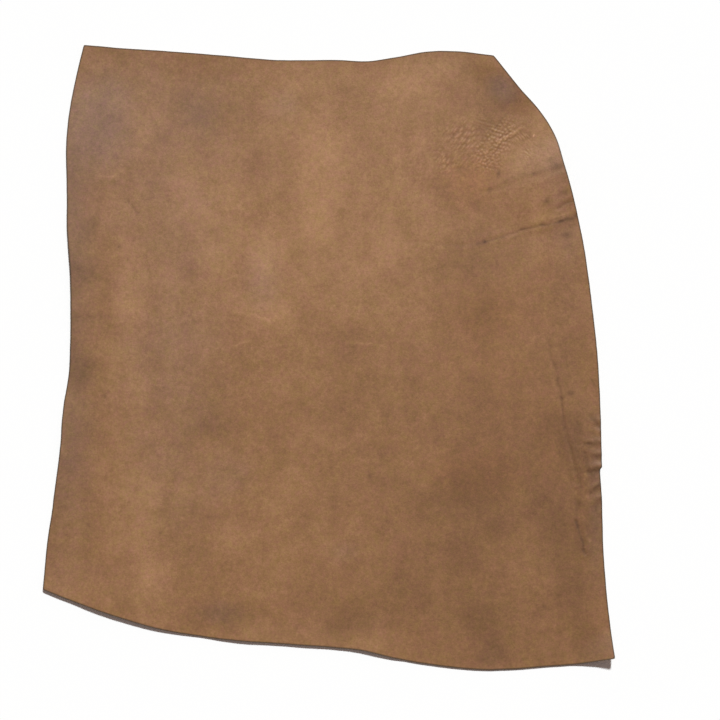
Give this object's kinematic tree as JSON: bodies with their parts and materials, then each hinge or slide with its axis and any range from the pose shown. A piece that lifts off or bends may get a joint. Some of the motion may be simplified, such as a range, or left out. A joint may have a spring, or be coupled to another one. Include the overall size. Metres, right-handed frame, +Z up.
{
  "type": "leather hide",
  "caption": "Cut panel of oiled brown cattle hide for leatherwork, lying flat with its grain side up, with a wavy rim, a lifted corner, a long crease and neck wrinkles.",
  "frame": {"origin": "on the ground, under the middle of the sheet's box", "axes": "+X across the hide from the back edge to the belly edge, +Y along it from the near edge to the far (neck) end, +Z up out of the grain side"},
  "size_m": [0.825, 0.9027, 0.0175],
  "materials": {
    "leather": "oiled and waxed brown grain side with a soft satin sheen, mottled, over a paler suede-like flesh side"
  },
  "bodies": {
    "root": {"hide": "leather"}
  },
  "joints": []
}
